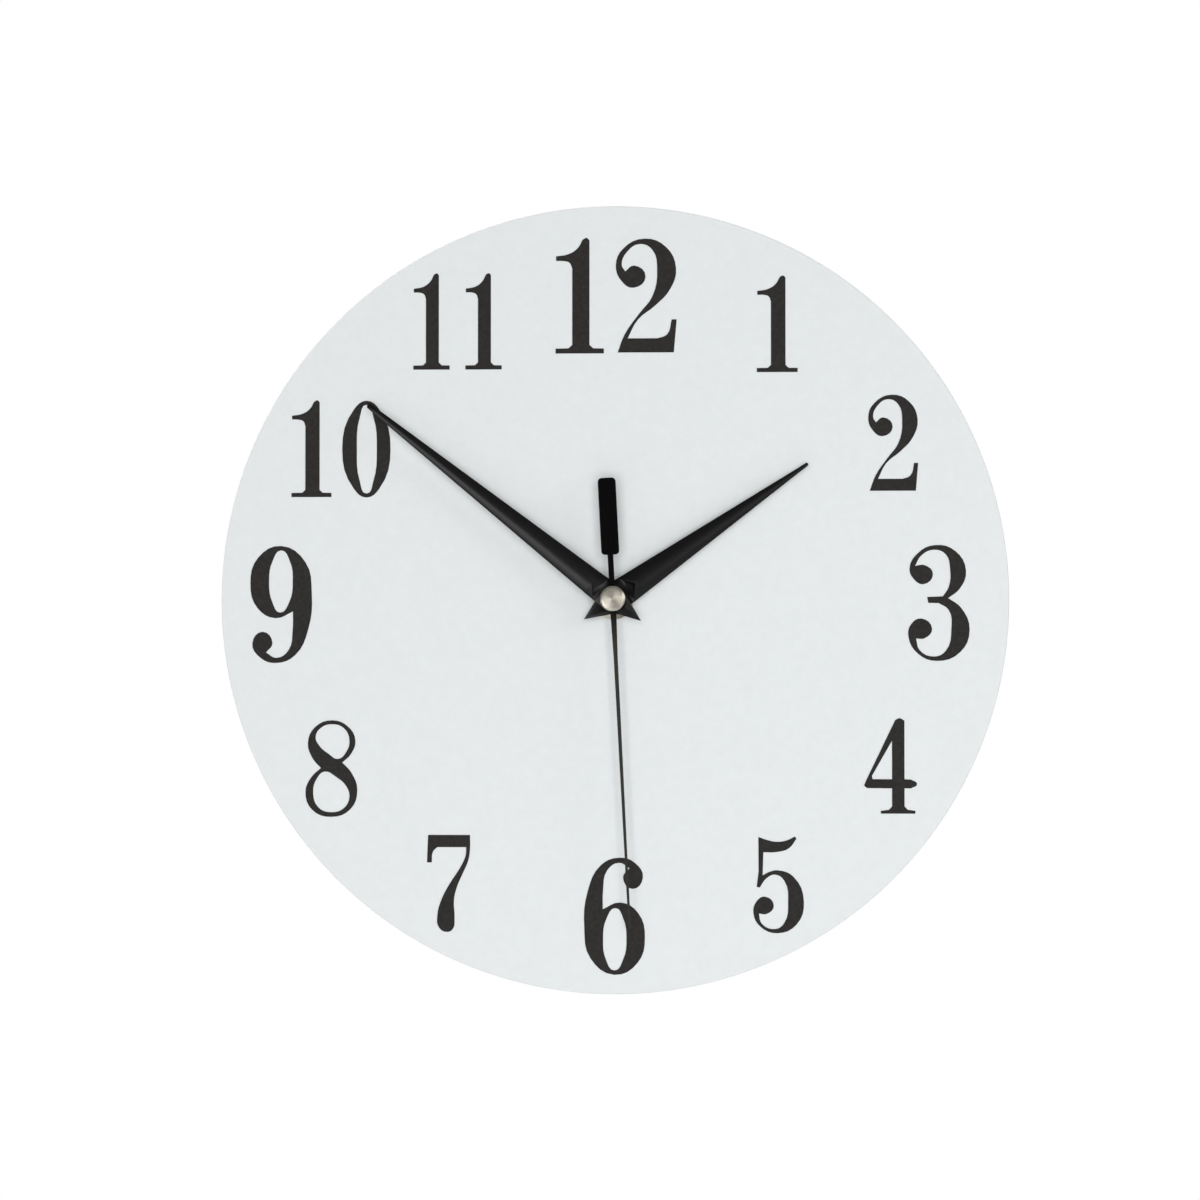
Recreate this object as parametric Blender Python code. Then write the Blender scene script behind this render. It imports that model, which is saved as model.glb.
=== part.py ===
"""A frameless round wall clock on a quartz movement.

The dial faces -Y, twelve o'clock is +Z, and the clock hangs against the plane Y = 0.
Every size is in millimetres. "Depth" is the distance in front of the wall, and an angle is
measured clockwise from twelve o'clock, as on the dial.
"""

import math

import bmesh
import bpy
from mathutils import Matrix, Vector

MM = 0.001

# The dial and what is printed on it.
DIAL_RADIUS = 125.0
CENTRE_HOLE_RADIUS = 4.3
DIAL_BACK = 18.1
BOARD_THICKNESS = 4.0
FILM_THICKNESS = 0.25
INK_THICKNESS = 0.1
LAYER_GAP = 0.1
INK_GAP = 0.05

# The movement's case.
CASE_HALF = 28.5
CASE_CORNER = 4.0
CASE_WALL = 1.4
COVER_THICKNESS = 1.4
CASE_BACK = 1.7
CASE_FRONT = 16.5
FRONT_PLATE_INSIDE = 15.3
BAY_TOP = -11.5
GEAR_ROOM_BOTTOM = -10.3
HANGER_TOP = 39.0

# The battery, an AA cell.
BATTERY_RADIUS = 7.25
BATTERY_BODY = 49.2
BATTERY_LENGTH = 50.5
BATTERY_Z = -19.3
BATTERY_DEPTH = 7.75

# Bearings and tubes, from the thinnest arbor out.
PIVOT_RADIUS = 0.5
BEARING_BORE = 0.6
BEARING_RADIUS = 1.4
SECOND_ARBOR_RADIUS = 0.65
MINUTE_TUBE_RADIUS = 1.65
MINUTE_TUBE_BORE = 0.85
HOUR_TUBE_RADIUS = 2.5
HOUR_TUBE_BORE = 1.85
BUSH_RADIUS = 3.95
BUSH_BORE = 2.7
NUT_CORNER = 5.77
ARBOR_BACK = 1.6
ARBOR_FRONT = 15.1

# Teeth, in shares of the module and of the tooth pitch.
ADDENDUM = 0.75
DEDENDUM = 1.15
TOOTH_ROOT = 0.56
TOOTH_TIP = 0.2

# Tooth counts and modules of each meshing pair.
SMALL_PINION = 8
ROTOR_MODULE = 0.3
FIRST_WHEEL = 48
SECOND_MODULE = 0.425
SECOND_WHEEL = 40
THIRD_MODULE = 0.3
THIRD_WHEEL = 60
CENTRE_MODULE = 0.2833
CENTRE_WHEEL = 64
MOTION_PINION = 12
MOTION_MODULE = 0.4
MOTION_WHEEL = 36
HOUR_MODULE = 0.32
HOUR_WHEEL = 48

# The time shown at rest, as each hand's angle.
HOUR_ANGLE = 55.25
MINUTE_ANGLE = 308.35
SECOND_ANGLE = 177.05

# The hands.
SHEET = 0.4
ROOF_ANGLE = math.radians(14.0)
TAIL_TIP = 11.3
HOUR_HAND_DEPTH = 27.2
MINUTE_HAND_DEPTH = 29.4
SECOND_HAND_DEPTH = 31.3
SECOND_SHEET = 0.35
CAP_RADIUS = 4.0

CORNER = "corner"


def clear_scene():
    for item in list(bpy.data.objects):
        bpy.data.objects.remove(item, do_unlink=True)


def linear(value):
    share = value / 255
    return share / 12.92 if share <= 0.04045 else ((share + 0.055) / 1.055) ** 2.4


def finish(name, colour, roughness, metallic=0.0):
    """A Principled material with an sRGB colour, given as three numbers up to 255."""
    material = bpy.data.materials.new(name)
    material.use_nodes = True
    shader = material.node_tree.nodes["Principled BSDF"]
    shader.inputs["Base Color"].default_value = (*map(linear, colour), 1.0)
    shader.inputs["Roughness"].default_value = roughness
    shader.inputs["Metallic"].default_value = metallic
    return material


def polar(radius, degrees):
    """The point at this radius and clock angle."""
    turn = math.radians(degrees)
    return Vector((radius * math.sin(turn), radius * math.cos(turn)))


def circle(radius, centre=(0.0, 0.0), steps=24):
    return [Vector(centre) + polar(radius, 360 * k / steps) for k in range(steps)]


def rounded(corners, steps=4):
    """A closed outline through corners (x, z, radius), each turned into an arc."""
    points = []
    for index, (x, z, radius) in enumerate(corners):
        here = Vector((x, z))
        if not radius:
            points.append(here)
            continue
        before = (Vector(corners[index - 1][:2]) - here).normalized()
        after = (Vector(corners[(index + 1) % len(corners)][:2]) - here).normalized()
        half = before.angle(after) / 2
        centre = here + (before + after).normalized() * radius / math.sin(half)
        start = (here + before * radius / math.tan(half) - centre).normalized()
        end = (here + after * radius / math.tan(half) - centre).normalized()
        points += [centre + start.slerp(end, k / steps) * radius for k in range(steps + 1)]
    return points


def rectangle(left, right, bottom, top, radius=0.0, steps=4):
    corners = ((left, bottom), (right, bottom), (right, top), (left, top))
    return rounded([(x, z, radius) for x, z in corners], steps)


def toothed(teeth, module):
    """A gear's outline, with its first tooth at twelve o'clock."""
    root = module * (teeth / 2 - DEDENDUM)
    tip = module * (teeth / 2 + ADDENDUM)
    pitch = 360 / teeth
    half_root, half_tip = TOOTH_ROOT / 2, TOOTH_TIP / 2
    flank = ((root, -half_root), (tip, -half_tip), (tip, half_tip), (root, half_root))
    return [
        polar(radius, (tooth + share) * pitch) for tooth in range(teeth) for radius, share in flank
    ]


def ribbon(points, thickness):
    """The outline of a strip of sheet whose middle follows these points."""
    points = [Vector(point) for point in points]
    sides = []
    for index, point in enumerate(points):
        before = (point - points[max(index - 1, 0)]).normalized()
        after = (points[min(index + 1, len(points) - 1)] - point).normalized()
        along = (before + after).normalized()
        across = Vector((-along.y, along.x)) * thickness / 2
        across /= max(along.dot(before if before.length else after), 0.5)
        sides.append((point + across, point - across))
    return [left for left, _ in sides] + [right for _, right in reversed(sides)]


def layered(layers):
    """A solid built up along the depth.

    layers holds (outlines, back, front). The outlines of a layer lie inside one another by
    turns, material and hole. An outline that goes on into the next layer is the same list.
    """
    mesh = bmesh.new()
    open_loops = {}
    for outlines, back, front in [*layers, ([], layers[-1][2], layers[-1][2])]:
        kept = {id(outline) for outline in outlines} & set(open_loops)
        ending = [loop for key, loop in open_loops.items() if key not in kept]
        loops = {key: open_loops[key] for key in kept}
        starting = []
        for outline in outlines:
            if id(outline) not in kept:
                loops[id(outline)] = new_loop(mesh, outline, back)
                starting.append(loops[id(outline)])
        cap_edges = [edge for loop in ending + starting for edge in loop]
        if cap_edges:
            bmesh.ops.triangle_fill(mesh, use_beauty=True, edges=cap_edges, normal=(0, 1, 0))
        open_loops = {key: raised(mesh, loop, front - back) for key, loop in loops.items()}
    bmesh.ops.recalc_face_normals(mesh, faces=mesh.faces)
    return mesh


def new_loop(mesh, outline, depth):
    verts = [mesh.verts.new((x, -depth, z)) for x, z in outline]
    return [mesh.edges.new((vert, verts[index - 1])) for index, vert in enumerate(verts)]


def raised(mesh, loop, height):
    """The edges that close the wall raised from this loop."""
    made = bmesh.ops.extrude_edge_only(mesh, edges=loop)["geom"]
    verts = [item for item in made if isinstance(item, bmesh.types.BMVert)]
    bmesh.ops.translate(mesh, verts=verts, vec=(0, -height, 0))
    fresh = set(verts)
    edges = [item for item in made if isinstance(item, bmesh.types.BMEdge)]
    return [edge for edge in edges if edge.verts[0] in fresh and edge.verts[1] in fresh]


def place(name, mesh, material, at=(0.0, 0.0), turn=0.0):
    """Makes the node: its origin is on the axis (x, z), turned clockwise by turn degrees."""
    bmesh.ops.scale(mesh, verts=mesh.verts, vec=(MM, MM, MM))
    data = bpy.data.meshes.new(name)
    mesh.to_mesh(data)
    mesh.free()
    data.materials.append(material)
    data.shade_smooth()
    data.set_sharp_from_angle(angle=math.radians(35))
    node = bpy.data.objects.new(name, data)
    node.location = (at[0] * MM, 0.0, at[1] * MM)
    node.rotation_euler.y = math.radians(turn % 360)
    bpy.context.collection.objects.link(node)
    return node


def rotated(mesh, axis, degrees):
    """Lays a solid that was built along the depth in another direction."""
    turn = {"X": (1, 0, 0), "Y": (0, 1, 0), "Z": (0, 0, 1)}[axis]
    matrix = Matrix.Rotation(math.radians(degrees), 3, turn)
    bmesh.ops.rotate(mesh, verts=mesh.verts, cent=(0, 0, 0), matrix=matrix)
    return mesh


# The printed figures, each 100 units tall and drawn about its own centre line.
# A point is smooth unless it is marked as a corner.
FIGURES = {
    "0": (
        ((1, 100), (14, 91), (25.5, 50), (14, 9), (1, 0), (-12, 9), (-24, 50), (-12, 91)),
        ((1, 96), (-6, 83), (-9, 50), (-6, 17), (1, 4), (8, 17), (11.5, 50), (8, 83)),
    ),
    "1": (
        (
            (-20, 84.7, CORNER), (-9, 86.8), (-1.5, 92), (2.5, 99, CORNER), (6, 100.6),
            (8.3, 98.5, CORNER),
            (8.3, 8, CORNER), (11.5, 5, CORNER), (20.5, 4.8, CORNER), (20.5, 0.6, CORNER),
            (-20.5, 0.6, CORNER), (-20.5, 4.8, CORNER), (-9.5, 5, CORNER), (-6.3, 8, CORNER),
            (-6.3, 74, CORNER), (-8.5, 79), (-13, 80.6), (-20, 80.8, CORNER),
        ),
    ),
    "2": (
        (
            (-25.5, 77), (-19.5, 91), (-1, 99.8), (17, 92.5), (25.5, 74), (20.5, 56), (8, 42),
            (-7, 29.5),
            (-15.5, 13.5, CORNER), (10, 13.5, CORNER), (18, 17), (21.8, 29.8, CORNER),
            (26, 29.8, CORNER),
            (23.6, 1.3, CORNER), (-24, 1.3, CORNER), (-18, 17), (-6, 34.5), (5.5, 50), (9.5, 73),
            (5.5, 90), (-5, 95.2), (-16, 88.5), (-20.5, 77), (-17.5, 71.5, CORNER), (-10, 76.5),
            (-0.3, 67), (-10.5, 57.3), (-21, 63.5),
        ),
    ),
    "3": (
        (
            (-25, 80), (-18, 93), (-3, 100), (14, 95), (23.3, 78), (18, 62.5), (8, 54.3, CORNER),
            (19, 46),
            (26.3, 27), (18, 7.5), (-2, 0.2), (-18, 6.5), (-26, 21), (-24, 31.5), (-15, 36.7),
            (-5.8, 28),
            (-12, 19.8), (-19.5, 19.5, CORNER), (-16.5, 9.5), (-4, 4), (6, 9), (10.7, 28),
            (8.5, 44),
            (0, 50, CORNER), (-9, 50.2, CORNER), (-10, 55.3, CORNER), (3.5, 55.8, CORNER),
            (8.5, 64),
            (9.7, 79), (6, 92), (-4, 96), (-15, 91), (-20.3, 82, CORNER), (-12, 82.7), (-5, 75),
            (-13, 66.3), (-22, 71.5),
        ),
    ),
    "4": (
        (
            (4.5, 98.5, CORNER), (9, 100.6), (14.2, 98, CORNER), (14.2, 36.6, CORNER),
            (21, 36.2, CORNER),
            (27.3, 31.5), (21, 27, CORNER), (14.2, 27, CORNER), (14.2, 8, CORNER),
            (17.5, 4.5, CORNER),
            (25.5, 3.4, CORNER), (25.5, 0.5, CORNER), (-10.5, 0.5, CORNER), (-10.5, 3.4, CORNER),
            (-2, 4.5, CORNER), (1.2, 8, CORNER), (1.2, 27, CORNER), (-25, 27.3, CORNER),
            (-28, 30, CORNER), (-25.5, 36, CORNER),
        ),
        ((1.2, 77, CORNER), (-19.8, 40, CORNER), (-19, 36.6, CORNER), (1.2, 36.6, CORNER)),
    ),
    "5": (
        (
            (-21, 99.8, CORNER), (-13, 97), (-2, 94.8), (8, 96), (17.5, 100.3, CORNER),
            (19, 98, CORNER),
            (11, 88), (-2, 84.2), (-15.8, 84, CORNER), (-16.5, 60, CORNER), (-9, 63.8), (0, 65.2),
            (16, 58.5), (26.8, 33), (19, 9), (-1, 0.2), (-19, 7), (-26.3, 21), (-23, 33), (-14, 38),
            (-4.8, 28.7), (-12, 20.2), (-20.5, 20.5, CORNER), (-17.5, 10), (-3, 4.5), (6, 10.5),
            (10.2, 33), (6.5, 54), (-3, 60.8), (-12.5, 57), (-19.5, 47.5, CORNER),
            (-22.8, 48, CORNER),
            (-20.8, 64, CORNER),
        ),
    ),
    "7": (
        (
            (-21.5, 99, CORNER), (21.3, 99, CORNER), (21.3, 84), (19.5, 73), (14, 60), (8, 46),
            (5, 33),
            (5.6, 14), (4, 3.5), (-2, 0.2), (-10.5, 5), (-12, 17), (-7.5, 34), (1, 50), (12, 67),
            (16.8, 78), (17.5, 86.6, CORNER), (-12, 86.6, CORNER), (-16.5, 82), (-17.7, 71, CORNER),
            (-22.6, 71, CORNER),
        ),
    ),
    "8": (
        (
            (1, 100), (17.5, 93.5), (25.3, 79), (20.5, 65), (11.5, 56.3, CORNER), (21, 46),
            (27.3, 28),
            (20, 8), (0, 0.2), (-20, 7.5), (-27, 26), (-21, 41), (-10.8, 50.7, CORNER),
            (-19.5, 60.5),
            (-24.5, 77), (-17, 93),
        ),
        ((1, 96), (-10.5, 92.5), (-16.5, 83), (-12, 73), (-3, 65.5), (7, 60), (15.5, 67),
         (19, 80), (13, 92)),
        ((-7, 47), (-15, 40), (-19, 26), (-13.5, 10), (0, 5), (13, 9), (19, 20), (16, 31.5),
         (5, 41.5)),
    ),
    "9": (
        (
            (26.4, 60), (21, 86), (0, 100), (-20, 90), (-26.6, 68), (-20.5, 47), (-5, 38.3),
            (10.2, 44, CORNER),
            (10, 28), (6.5, 11), (-4, 4.3), (-13, 9, CORNER), (-7.5, 17), (-16, 26.6), (-24.8, 17),
            (-18, 4.5), (-4, 0), (12, 6.5), (23.5, 29),
        ),
        ((0, 96.3), (-7.5, 87), (-10.5, 70), (-7.5, 51.5), (-1, 43), (7, 52), (10, 70), (7.5, 87)),
    ),
}
FIGURES["6"] = tuple(
    tuple((-point[0], 100 - point[1], *point[2:]) for point in outline) for outline in FIGURES["9"]
)

# Where each hour is printed: the middle of its figures, their height, and their width as a share
# of the width they are drawn at.
HOURS = {
    1: (51.84, 87.16, 30.65, 1.03),
    2: (88.42, 49.33, 30.9, 0.99),
    3: (102.81, -1.3, 36.7, 1.005),
    4: (87.59, -52.91, 30.1, 1.005),
    5: (52.04, -90.4, 30.5, 0.985),
    6: (0.19, -100.34, 37.0, 0.98),
    7: (-52.3, -89.92, 31.1, 1.0),
    8: (-89.85, -53.69, 30.7, 0.99),
    9: (-105.92, -1.5, 37.2, 0.993),
    10: (-87.67, 47.9, 30.8, 1.01),
    11: (-49.76, 88.3, 30.65, 0.92),
    12: (-0.33, 96.3, 36.75, 1.02),
}
# The distance between the middles of an hour's two figures.
FIGURE_PITCH = {10: 17.28, 11: 16.59, 12: 21.07}


def figure(name, digit, height, width, centre, material):
    """One printed digit: a flat curve filled and given the thickness of the ink."""
    curve = bpy.data.curves.new(name, "CURVE")
    curve.dimensions = "2D"
    curve.fill_mode = "BOTH"
    curve.resolution_u = 4
    curve.extrude = INK_THICKNESS / 2 * MM
    unit = height / 100 * MM
    for outline in FIGURES[digit]:
        spline = curve.splines.new("BEZIER")
        spline.bezier_points.add(len(outline) - 1)
        spline.use_cyclic_u = True
        for knot, (x, y, *corner) in zip(spline.bezier_points, outline):
            knot.co = (x * unit * width, (y - 50) * unit, 0)
            knot.handle_left_type = knot.handle_right_type = "VECTOR" if corner else "AUTO"
    curve.materials.append(material)
    node = bpy.data.objects.new(name, curve)
    depth = DIAL_BACK + BOARD_THICKNESS + LAYER_GAP + FILM_THICKNESS + INK_GAP + INK_THICKNESS / 2
    node.location = (centre[0] * MM, -depth * MM, centre[1] * MM)
    node.rotation_euler.x = math.radians(90)
    bpy.context.collection.objects.link(node)


def figures(material):
    for hour, (x, z, height, width) in HOURS.items():
        if hour not in FIGURE_PITCH:
            figure(f"numeral_{hour}", str(hour), height, width, (x, z), material)
            continue
        half = FIGURE_PITCH[hour] / 2
        for place_name, digit, side in zip(("tens", "units"), str(hour), (-half, half)):
            figure(f"numeral_{hour}_{place_name}", digit, height, width, (x + side, z), material)


def dial(board, film):
    hole = circle(CENTRE_HOLE_RADIUS)
    front = DIAL_BACK + BOARD_THICKNESS
    rim = circle(DIAL_RADIUS, steps=96)
    place("dial_board", layered([([rim, hole], DIAL_BACK, front)]), board)
    face = circle(DIAL_RADIUS - 0.5, steps=96)
    back = front + LAYER_GAP
    place("dial_face_film", layered([([face, hole], back, back + FILM_THICKNESS)]), film)


def case_front(plastic, bearings, post):
    """The movement's main moulding: a box open at the back, with a room for the gears above the
    battery bay, blind bearings on the front plate and the post that the motion wheel turns on."""
    inside = CASE_HALF - CASE_WALL
    outer = rectangle(-CASE_HALF, CASE_HALF, -CASE_HALF, CASE_HALF, CASE_CORNER)
    room = rectangle(-inside, inside, GEAR_ROOM_BOTTOM, inside, 1.5, 2)
    bay = rectangle(-inside, inside, -inside, BAY_TOP, 1.0, 2)
    shell = [outer, room, bay]
    pin = circle(1.0, post, 12)
    cups = [circle(BEARING_RADIUS, at, 12) for at in bearings]
    bores = [circle(BEARING_BORE, at, 10) for at in bearings]
    hole = circle(CENTRE_HOLE_RADIUS)
    layers = [
        (shell, CASE_BACK, 8.5),
        ([*shell, pin], 8.5, 14.3),
        ([*shell, pin, *cups, *bores], 14.3, FRONT_PLATE_INSIDE),
        ([outer, hole], FRONT_PLATE_INSIDE, CASE_FRONT),
    ]
    place("movement_case", layered(layers), plastic)


def rear_cover(plastic, bearings, knob):
    """The back plate: a window for the battery, a well round the setting knob, blind bearings,
    and a loop at the top that hangs on a nail."""
    half = CASE_HALF
    outer = rounded(
        [
            (-half, -half, CASE_CORNER), (half, -half, CASE_CORNER), (half, half, CASE_CORNER),
            (9.5, half, 1.5), (8.5, HANGER_TOP, 5.0), (-8.5, HANGER_TOP, 5.0), (-9.5, half, 1.5),
            (-half, half, CASE_CORNER),
        ]
    )
    slot = rectangle(-5.5, 5.5, 30.3, 35.6, 2.2)
    inside = CASE_HALF - CASE_WALL
    window = rectangle(-inside, inside, -inside, BAY_TOP - 0.1, 1.0, 2)
    well = circle(5.6, knob)
    well_wall = circle(6.5, knob)
    knob_hole = circle(1.35, knob, 12)
    cups = [circle(BEARING_RADIUS, at, 12) for at in bearings]
    bores = [circle(BEARING_BORE, at, 10) for at in bearings]
    layers = [
        ([outer, slot, window, well], 0.0, COVER_THICKNESS),
        ([well_wall, well, *cups, *bores], COVER_THICKNESS, 2.4),
        ([well_wall, well], 2.4, 3.1),
        ([well_wall, knob_hole], 3.1, 4.0),
    ]
    place("rear_cover", layered(layers), plastic)


def fixings(brass, nickel, rubber):
    """The threaded bush that holds the dial, and what is clamped on it."""
    bore = circle(BUSH_BORE)
    bush = [([circle(5.5), bore], 14.0, 15.0), ([circle(BUSH_RADIUS), bore], 15.0, 25.9)]
    place("threaded_bush", layered(bush), brass)
    place("rubber_gasket", layered([([circle(10.0, steps=32), circle(4.4)], 16.8, 17.8)]), rubber)
    hole = circle(BUSH_RADIUS + 0.25)
    place("fixing_washer", layered([([circle(6.4), hole], 22.75, 23.25)]), nickel)
    hexagon = circle(NUT_CORNER, steps=6)
    place("fixing_nut", layered([([hexagon, hole], 23.5, 25.6)]), nickel)


def meshed(turn, teeth, other_teeth, direction):
    """The turn that puts the other gear's gaps on this gear's teeth. direction is from this
    gear's axis to the other's."""
    share = (turn - direction) * teeth / 360
    return direction + 180 - 360 / other_teeth * (share + 0.5)


def bearing_of(start, teeth, other_teeth, module, direction):
    return Vector(start) + polar(module * (teeth + other_teeth) / 2, direction)


def arbor():
    return circle(PIVOT_RADIUS, steps=10)


def going_train(plastic, magnet, brass):
    """The reduction from the rotor to the centre wheel. Each gear's first tooth is at its turn."""
    third_way, first_way, rotor_way = 60.0, 290.0, 320.0
    centre = (0.0, 0.0)
    third_axis = bearing_of(centre, CENTRE_WHEEL, SMALL_PINION, CENTRE_MODULE, third_way)
    first_axis = bearing_of(centre, SECOND_WHEEL, SMALL_PINION, SECOND_MODULE, first_way)
    rotor_axis = bearing_of(first_axis, FIRST_WHEEL, SMALL_PINION, ROTOR_MODULE, rotor_way)

    third_turn = meshed(MINUTE_ANGLE, CENTRE_WHEEL, SMALL_PINION, third_way)
    second_turn = meshed(third_turn, THIRD_WHEEL, SMALL_PINION, third_way + 180)
    first_turn = meshed(second_turn, SECOND_WHEEL, SMALL_PINION, first_way)
    rotor_turn = meshed(first_turn, FIRST_WHEEL, SMALL_PINION, rotor_way)

    tube = circle(MINUTE_TUBE_RADIUS, steps=20)
    bore = circle(MINUTE_TUBE_BORE, steps=12)
    cannon = [
        ([tube, bore], 6.5, 8.2),
        ([toothed(MOTION_PINION, MOTION_MODULE), bore], 8.2, 10.2),
        ([circle(MINUTE_TUBE_RADIUS, steps=20), bore], 10.2, 29.8),
    ]
    place("minute_tube", layered(cannon), plastic, centre, MINUTE_ANGLE)
    rim = toothed(CENTRE_WHEEL, CENTRE_MODULE)
    hub = circle(MINUTE_TUBE_RADIUS + 0.2, steps=20)
    place("centre_wheel", layered([([rim, hub], 6.8, 7.8)]), plastic, centre, MINUTE_ANGLE)

    third = [
        ([arbor()], ARBOR_BACK, 4.8),
        ([toothed(THIRD_WHEEL, THIRD_MODULE)], 4.8, 5.8),
        ([toothed(SMALL_PINION, CENTRE_MODULE)], 5.8, 8.4),
        ([arbor()], 8.4, ARBOR_FRONT),
    ]
    place("third_wheel", layered(third), plastic, third_axis, third_turn)

    second = [
        ([arbor()], ARBOR_BACK, 3.2),
        ([toothed(SECOND_WHEEL, SECOND_MODULE)], 3.2, 4.2),
        ([toothed(SMALL_PINION, THIRD_MODULE)], 4.2, 6.2),
        ([circle(SECOND_ARBOR_RADIUS, steps=10)], 6.2, 31.0),
    ]
    place("second_wheel", layered(second), plastic, centre, second_turn)

    first = [
        ([arbor()], ARBOR_BACK, 2.8),
        ([toothed(SMALL_PINION, SECOND_MODULE)], 2.8, 4.9),
        ([toothed(FIRST_WHEEL, ROTOR_MODULE)], 4.9, 5.7),
        ([arbor()], 5.7, ARBOR_FRONT),
    ]
    place("first_wheel", layered(first), plastic, first_axis, first_turn)

    rotor = [
        ([arbor()], ARBOR_BACK, 4.4),
        ([toothed(SMALL_PINION, ROTOR_MODULE)], 4.4, 6.4),
        ([arbor()], 6.4, ARBOR_FRONT),
    ]
    place("rotor", layered(rotor), brass, rotor_axis, rotor_turn)
    ring = [circle(2.8, steps=24), circle(BEARING_BORE + 0.05, steps=12)]
    place("rotor_magnet", layered([(ring, 8.6, 12.2)]), magnet, rotor_axis, rotor_turn)
    return third_axis, first_axis, rotor_axis


def motion_work(plastic, knob_plastic):
    """The twelve-to-one train that drives the hour hand, and the knob that sets the hands."""
    centre = (0.0, 0.0)
    motion_way, knob_way = 0.0, 50.0
    motion_axis = bearing_of(centre, MOTION_PINION, MOTION_WHEEL, MOTION_MODULE, motion_way)
    knob_axis = bearing_of(motion_axis, MOTION_WHEEL, MOTION_PINION, MOTION_MODULE, knob_way)
    motion_turn = meshed(MINUTE_ANGLE, MOTION_PINION, MOTION_WHEEL, motion_way)
    hour_turn = meshed(motion_turn, MOTION_PINION, HOUR_WHEEL, motion_way + 180)
    knob_turn = meshed(motion_turn, MOTION_WHEEL, MOTION_PINION, knob_way)

    bore = circle(1.15, steps=16)
    motion = [
        ([toothed(MOTION_WHEEL, MOTION_MODULE), bore], 8.8, 9.8),
        ([toothed(MOTION_PINION, HOUR_MODULE), bore], 9.8, 12.4),
    ]
    place("motion_wheel", layered(motion), plastic, motion_axis, motion_turn)

    bore = circle(HOUR_TUBE_BORE, steps=24)
    hour = [
        ([toothed(HOUR_WHEEL, HOUR_MODULE), bore], 11.1, 12.1),
        ([circle(HOUR_TUBE_RADIUS, steps=24), bore], 12.1, 27.5),
    ]
    place("hour_wheel", layered(hour), plastic, centre, hour_turn)

    flutes = 18
    grip = [polar(5.0 - 0.35 * (k % 2), 180 * k / flutes) for k in range(2 * flutes)]
    knob = [
        ([grip], 0.4, 2.8),
        ([circle(1.1, steps=16)], 2.8, 8.4),
        ([toothed(MOTION_PINION, MOTION_MODULE)], 8.4, 10.4),
        ([arbor()], 10.4, ARBOR_FRONT),
    ]
    place("setting_knob", layered(knob), knob_plastic, knob_axis, knob_turn)
    return motion_axis, knob_axis


def motor(rotor_axis, steel, winding, plastic):
    """The stepping motor's stator, and the coil on its core."""
    x, z = rotor_axis
    stator = rounded(
        [
            (-25.5, z - 4.6, 2.0), (x + 5.0, z - 4.6, 2.0), (-3.5, z - 1.0, 1.0), (-3.5, 23.6, 0.4),
            (-7.0, 23.6, 0.4), (-7.0, z + 4.8, 1.0), (-21.8, z + 4.8, 1.0), (-21.8, 23.6, 0.4),
            (-25.5, 23.6, 0.4),
        ],
        2,
    )
    hole = circle(3.3, rotor_axis, 24)
    place("stator", layered([([stator, hole], 10.1, 10.7)]), steel)

    coil_z, coil_depth = 21.3, 11.4
    core = rectangle(-25.5, -3.5, coil_z - 1.6, coil_z + 1.6, 0.4, 2)
    place("coil_core", layered([([core], coil_depth - 0.4, coil_depth + 0.4)]), steel)

    left, right, flange = -21.4, -7.4, 0.8
    passage = rectangle(-1.9, 1.9, -0.7, 0.7)
    cheek = rectangle(-3.7, 3.7, -3.7, 3.7, 0.8, 2)
    spool = [
        ([cheek, passage], 0.0, flange),
        ([rectangle(-2.5, 2.5, -1.3, 1.3), passage], flange, right - left - flange),
        ([cheek, passage], right - left - flange, right - left),
    ]
    turns = [rectangle(-3.3, 3.3, -3.3, 3.3, 1.6, 4), rectangle(-2.8, 2.8, -1.6, 1.6)]
    length = (flange + 0.2, right - left - flange - 0.2)
    for name, layers, material in (
        ("coil_bobbin", spool, plastic), ("coil_winding", [(turns, *length)], winding),
    ):
        mesh = rotated(rotated(layered(layers), "Z", 90), "X", 90)
        bmesh.ops.translate(mesh, verts=mesh.verts, vec=(left, -coil_depth, coil_z))
        place(name, mesh, material)


def electronics(board, resin, steel):
    outline = rectangle(14.2, 26.6, 8.0, 26.2, 0.6, 2)
    place("circuit_board", layered([([outline], 12.9, 13.9)]), board)
    blob = bmesh.new()
    bmesh.ops.create_uvsphere(blob, u_segments=16, v_segments=8, radius=3.0)
    bmesh.ops.bisect_plane(
        blob, geom=[*blob.verts, *blob.edges, *blob.faces], plane_co=(0, 0, 0), plane_no=(0, 0, 1),
        clear_outer=True,
    )
    rim = [edge for edge in blob.edges if edge.is_boundary]
    bmesh.ops.holes_fill(blob, edges=rim)
    bmesh.ops.scale(blob, verts=blob.verts, vec=(1, 1, 0.4))
    bmesh.ops.rotate(blob, verts=blob.verts, matrix=Matrix.Rotation(math.radians(90), 3, "X"))
    bmesh.ops.translate(blob, verts=blob.verts, vec=(19.5, -12.7, 20.5))
    bmesh.ops.recalc_face_normals(blob, faces=blob.faces)
    place("chip_cover", blob, resin)
    can = rotated(layered([([circle(1.05, steps=16)], 0.0, 6.0)]), "X", -90)
    bmesh.ops.translate(can, verts=can.verts, vec=(23.6, -11.4, 10.0))
    place("quartz_crystal", can, steel)


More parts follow.
